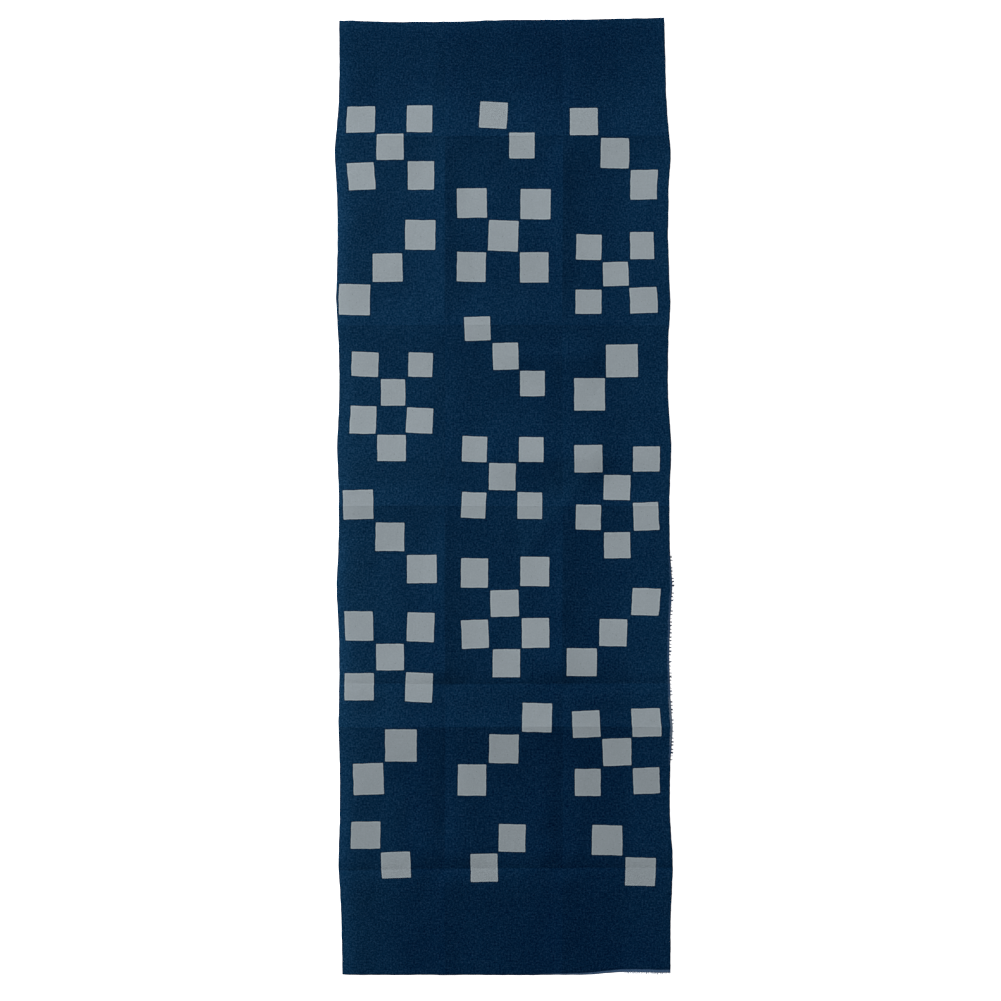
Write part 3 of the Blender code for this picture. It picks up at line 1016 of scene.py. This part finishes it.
def plain_mesh_from_nodes(name, mesh, tree, values):
    """Runs a node group on a mesh and keeps its result as a plain mesh object."""
    guide = link_object(name + "_line", mesh)
    modifier = guide.modifiers.new("yarn_ends", "NODES")
    modifier.node_group = tree
    sockets = {
        item.name: item.identifier
        for item in tree.interface.items_tree
        if item.item_type == "SOCKET" and item.in_out == "INPUT"
    }
    for key, value in values.items():
        modifier[sockets[key]] = value
    graph = bpy.context.evaluated_depsgraph_get()
    result = bpy.data.meshes.new_from_object(guide.evaluated_get(graph))
    result.name = name
    result.shade_smooth()
    guide.modifiers.remove(modifier)
    bpy.data.objects.remove(guide)
    return link_object(name, result)


def colour_setting(name, description, default):
    """A colour that a user can change."""
    return FloatVectorProperty(
        name=name, description=description, default=default, subtype="COLOR"
    )


def length_setting(name, description, default, low, high):
    """A length that a user can change, in metres."""
    return FloatProperty(
        name=name, description=description, default=default, min=low, max=high, unit="LENGTH"
    )


def count_setting(name, description, default, high):
    """A number of strands that a user can change."""
    return IntProperty(name=name, description=description, default=default, min=0, max=high)


class TenuguiClothSettings(PropertyGroup):
    """The cloth's own sizes and colours."""

    thickness: length_setting("Thickness", "How thick the cotton is", 0.00045, 0.0002, 0.001)
    grid_step: length_setting(
        "Grid step", "How far apart the points of the cloth's mesh are", 0.0030, 0.0025, 0.02
    )
    yarn_pitch: length_setting(
        "Yarn pitch", "The distance from one yarn to the next", 0.00045, 0.0002, 0.002
    )
    indigo: colour_setting(
        "Indigo", "The colour of the yarns that took the most dye", (0.0005, 0.0112, 0.0362)
    )
    indigo_fleck: colour_setting(
        "Indigo flecks", "The colour of the yarns that took least dye", (0.0052, 0.0316, 0.0744)
    )
    resist_grey: colour_setting(
        "Resist grey",
        "The colour of the squares that the resist kept from the dye",
        (0.250, 0.286, 0.308),
    )
    resist_rim: colour_setting(
        "Resist rim", "The colour along the inside of each square's edge", (0.290, 0.340, 0.366)
    )
    worn_edge: colour_setting(
        "Worn edge", "The colour of raw and rubbed yarns at the edges", (0.045, 0.090, 0.170)
    )


class TenuguiYarnEndSettings(PropertyGroup):
    """How the cut ends and the right woven edge fray."""

    foot_yarn_ends: count_setting(
        "Foot yarn ends", "How many yarn ends stand out of the foot end", 68, 200
    )
    head_yarn_ends: count_setting(
        "Head yarn ends", "How many yarn ends stand out of the head end", 32, 200
    )
    side_fibres: count_setting(
        "Side fibres", "How many loose fibres stand out of the right woven edge", 170, 240
    )
    thickness: length_setting("Yarn thickness", "How thick one yarn end is", 0.00028, 0.0001, 0.001)


class TenuguiStageSettings(PropertyGroup):
    """The plain studio around the towel."""

    floor_colour: colour_setting("Floor", "The colour of the studio floor", (0.88, 0.88, 0.88))
    key_power: FloatProperty(
        name="Key light",
        description="The power of the soft light from the upper left",
        default=740.0,
        min=0.0,
        unit="POWER",
    )
    sky_strength: FloatProperty(
        name="Fill",
        description="The strength of the even light from all around",
        default=0.30,
        min=0.0,
    )
    camera_height: FloatProperty(
        name="Camera height",
        description="How high the camera stands above the floor",
        default=3.2,
        min=0.5,
        unit="LENGTH",
    )


class TENUGUI_OT_cloth(Operator):
    """Makes the cloth with its woven edges, cut ends, pressed lines and print."""

    bl_idname = "tenugui.cloth"
    bl_label = "Cloth"

    def execute(self, context):
        settings = context.scene.tenugui_cloth
        mesh = cloth_mesh(CLOTH_NAME, settings.thickness, settings.grid_step)
        mesh.materials.append(cotton_material(settings))
        cloth = link_object(CLOTH_NAME, mesh)
        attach(cloth, BODY)
        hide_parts(CAD_NODE)
        return {"FINISHED"}


class TENUGUI_OT_yarn_ends(Operator):
    """Makes the frayed yarn ends of both cut ends and the loose fibres of the right woven edge."""

    bl_idname = "tenugui.yarn_ends"
    bl_label = "Yarn ends"

    def execute(self, context):
        cloth_settings = context.scene.tenugui_cloth
        settings = context.scene.tenugui_yarn_ends
        tree = yarn_end_tree()
        materials = {
            name: yarn_material(name, cloth_settings, share) for name, share in PALE_SHARES.items()
        }
        for name, across, along, points, side, material, *strand in LOOSE_YARNS:
            tufts, length, thickness, spread = strand
            line = edge_line(
                name + "_line",
                np.linspace(*across, points),
                np.linspace(*along, points),
                cloth_settings.thickness,
            )
            values = {
                "Count": getattr(settings, name),
                "Tufts": tufts,
                "Length": length,
                "Thickness": settings.thickness * thickness,
                "Spread": spread,
                "Side": side,
                "Seed": 10 * len(name),
                "Material": materials[material],
            }
            ends = plain_mesh_from_nodes(name, line, tree, values)
            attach(ends, BODY)
        return {"FINISHED"}


class TENUGUI_OT_stage(Operator):
    """Makes the floor, the soft light and the camera straight above."""

    bl_idname = "tenugui.stage"
    bl_label = "Stage"

    def execute(self, context):
        settings = context.scene.tenugui_stage
        self.floor(settings)
        self.light(context.scene, settings)
        self.camera(context.scene, settings)
        return {"FINISHED"}

    def floor(self, settings):
        half = 6.0
        mesh = bpy.data.meshes.new(FLOOR_NAME)
        corners = [(-half, -half, 0.0), (half, -half, 0.0), (half, half, 0.0), (-half, half, 0.0)]
        mesh.from_pydata(corners, [], [(0, 1, 2, 3)])
        material, shader, _ = new_material("studio_paper")
        looks = {
            "Base Color": (*settings.floor_colour, 1.0),
            "Roughness": 0.9,
            "Specular IOR Level": 0.1,
            "Emission Color": (1.0, 1.0, 1.0, 1.0),
            "Emission Strength": 1.0,
        }
        fill(shader, looks)
        mesh.materials.append(material)
        link_object(FLOOR_NAME, mesh)

    def light(self, scene, settings):
        key = bpy.data.lights.new("key_light", "AREA")
        key.shape = "SQUARE"
        key.size = 1.2
        key.energy = settings.key_power
        lamp = link_object("key_light", key)
        lamp.location = (-4.1, 4.1, 3.0)
        lamp.rotation_euler = (-Vector(lamp.location)).to_track_quat("-Z", "Y").to_euler()
        world = bpy.data.worlds.new("studio_sky")
        world.use_nodes = True
        even_light = {"Color": (1.0, 1.0, 1.0, 1.0), "Strength": settings.sky_strength}
        fill(world.node_tree.nodes["Background"], even_light)
        scene.world = world
        scene.view_settings.view_transform = "Standard"

    def camera(self, scene, settings):
        """The photograph spans 1.048 m, and its middle is a little left of and below the cloth's."""
        seen_span = 1.0477
        middle = (-0.0034, -0.0040)
        data = bpy.data.cameras.new("top_camera")
        data.sensor_width = 36.0
        data.lens = data.sensor_width * settings.camera_height / seen_span
        data.clip_end = 50.0
        camera = link_object("top_camera", data)
        camera.location = (*middle, settings.camera_height)
        scene.camera = camera


class TENUGUI_PT_panel(Panel):
    """Lists the towel's pieces and settings in the sidebar."""

    bl_idname = "TENUGUI_PT_panel"
    bl_label = "Tenugui Towel"
    bl_space_type = "VIEW_3D"
    bl_region_type = "UI"
    bl_category = "Tenugui"

    def draw(self, context):
        for group, _, operator in SETTINGS:
            box = self.layout.box()
            settings = getattr(context.scene, group)
            for name in settings.__annotations__:
                box.prop(settings, name)
            box.operator(operator)


# Each group of settings on the scene, and the operator that they are for.
SETTINGS = (
    ("tenugui_cloth", TenuguiClothSettings, "tenugui.cloth"),
    ("tenugui_yarn_ends", TenuguiYarnEndSettings, "tenugui.yarn_ends"),
    ("tenugui_stage", TenuguiStageSettings, "tenugui.stage"),
)
CLASSES = (
    *(kind for _, kind, _ in SETTINGS),
    TENUGUI_OT_cloth,
    TENUGUI_OT_yarn_ends,
    TENUGUI_OT_stage,
    TENUGUI_PT_panel,
)


def register():
    for each in CLASSES:
        bpy.utils.register_class(each)
    for name, kind, _ in SETTINGS:
        setattr(bpy.types.Scene, name, PointerProperty(type=kind))


def unregister():
    for name, *_ in SETTINGS:
        delattr(bpy.types.Scene, name)
    for each in reversed(CLASSES):
        bpy.utils.unregister_class(each)


def main():
    register()
    bpy.ops.tenugui.stage()
    bpy.ops.tenugui.cloth()
    bpy.ops.tenugui.yarn_ends()


if __name__ == "__main__":
    main()
